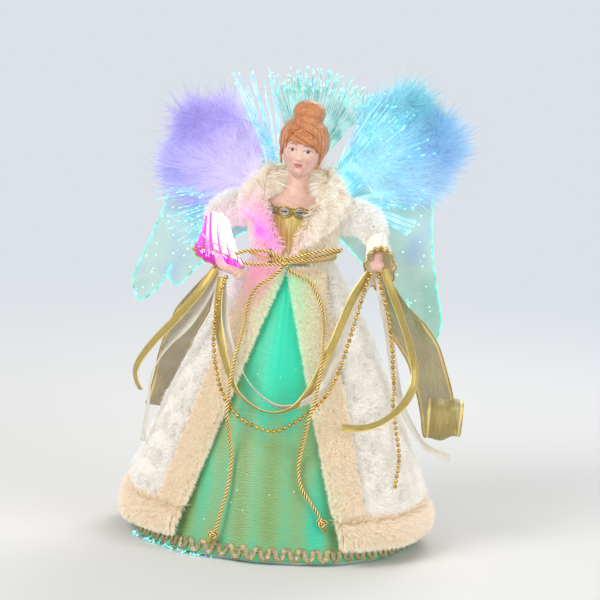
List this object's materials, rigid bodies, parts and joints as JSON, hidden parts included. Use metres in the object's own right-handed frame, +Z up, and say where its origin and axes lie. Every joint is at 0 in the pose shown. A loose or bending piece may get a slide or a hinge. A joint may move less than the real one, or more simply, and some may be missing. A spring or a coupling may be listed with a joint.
{
  "type": "tree topper",
  "caption": "Fibre-optic angel tree topper: hollow cone skirt that slips over a tree tip, plush coat, hinged feather wings, ribbons held between the hands and a battery light inside.",
  "frame": {"origin": "centre of the open foot, in the plane of the base ring's underside", "axes": "+Z up the figure, -Y the way the face looks, +X to the figure's side that is on the right in the picture"},
  "size_m": [0.2485, 0.2179, 0.3312],
  "materials": {
    "card": "matt card",
    "white_plastic": "satin moulded",
    "black_plastic": "satin moulded",
    "steel": "plated",
    "cell_jacket": "satin wrapper",
    "board": "solder mask",
    "fiber": "clear strand, lit at its end",
    "trunk_sleeve": "shrunk sleeve",
    "foam": "moulded form",
    "skin": "painted doll skin",
    "hair": "combed fibre",
    "dress_lame": "thin shot cloth, lit from behind",
    "gold_lame": "metallic cloth",
    "gimp": "metallic gimp braid",
    "plush_ivory": "rose-swirl plush",
    "plush_beige": "plush trim",
    "cuff_lit": "sheer cloth, lit from inside",
    "cuff_cloth": "sheer cloth with a gold edge",
    "gold_cord": "twisted metallic cord",
    "gold_bead": "metallised bead chain",
    "satin": "satin ribbon",
    "gold_ribbon": "metallic ribbon",
    "organza": "sheer metallic ribbon",
    "film": "iridescent film",
    "marabou": "soft down"
  },
  "bodies": {
    "figure": {"base_ring": "white_plastic", "support_cone": "card", "dress_skirt": "dress_lame", "hem_braid": "gimp", "coat_panel_back": "plush_ivory", "coat_panel_left": "plush_ivory", "coat_panel_right": "plush_ivory", "hem_trim": "plush_beige", "front_trim_left": "plush_beige", "front_trim_right": "plush_beige", "battery_box": "white_plastic", "battery_1": "cell_jacket", "battery_2": "cell_jacket", "battery_3": "cell_jacket", "contact_strip_top": "steel", "contact_strip_bottom": "steel", "power_lead": "trunk_sleeve", "led_housing": "white_plastic", "led_board": "board", "halo_fibers": "fiber", "skirt_fibers": "fiber", "sleeve_fibers": "fiber", "fiber_trunk_left": "trunk_sleeve", "fiber_trunk_right": "trunk_sleeve", "wing_bracket": "white_plastic", "torso_form": "foam", "head_bust": "skin", "hair": "hair", "hand_left": "skin", "hand_right": "skin", "bodice": "gold_lame", "neckline_braid": "gimp", "coat_bodice": "plush_ivory", "collar": "plush_ivory", "sleeve_left": "plush_ivory", "sleeve_right": "plush_ivory", "cuff_left": "cuff_lit", "cuff_right": "cuff_cloth", "waist_cord": "gold_cord", "cord_tail_left": "gold_cord", "cord_tail_right": "gold_cord", "bead_garland": "gold_bead", "bead_tail": "gold_bead", "satin_swag": "satin", "satin_tail_left": "satin", "satin_tail_right": "satin", "gold_swag": "gold_ribbon", "gold_tail_left": "gold_ribbon", "gold_tail_right": "gold_ribbon", "organza_left": "organza", "organza_right": "organza"},
    "battery_lid": {"battery_cover": "white_plastic", "battery_cover_screw": "steel"},
    "switch": {"switch_knob": "black_plastic"},
    "wing_left": {"wing_film_left": "film", "wing_feathers_left": "marabou", "wing_fibers_left": "fiber"},
    "wing_right": {"wing_film_right": "film", "wing_feathers_right": "marabou", "wing_fibers_right": "fiber"}
  },
  "joints": [
    {"name": "battery_cover_slide", "type": "slide", "parent": "figure", "child": "battery_lid", "axis": [0, 0.3065, -0.9519], "range_m": [0, 0.012]},
    {"name": "switch_slide", "type": "slide", "parent": "figure", "child": "switch", "axis": [1, 0, 0], "range_m": [0, 0.003]},
    {"name": "wing_left_hinge", "type": "hinge", "parent": "figure", "child": "wing_left", "pos_m": [-0.012, 0.036, 0.2473], "axis": [0, 0, -1], "range_deg": [0, 30]},
    {"name": "wing_right_hinge", "type": "hinge", "parent": "figure", "child": "wing_right", "pos_m": [0.012, 0.036, 0.2473], "axis": [0, 0, 1], "range_deg": [0, 30]}
  ]
}
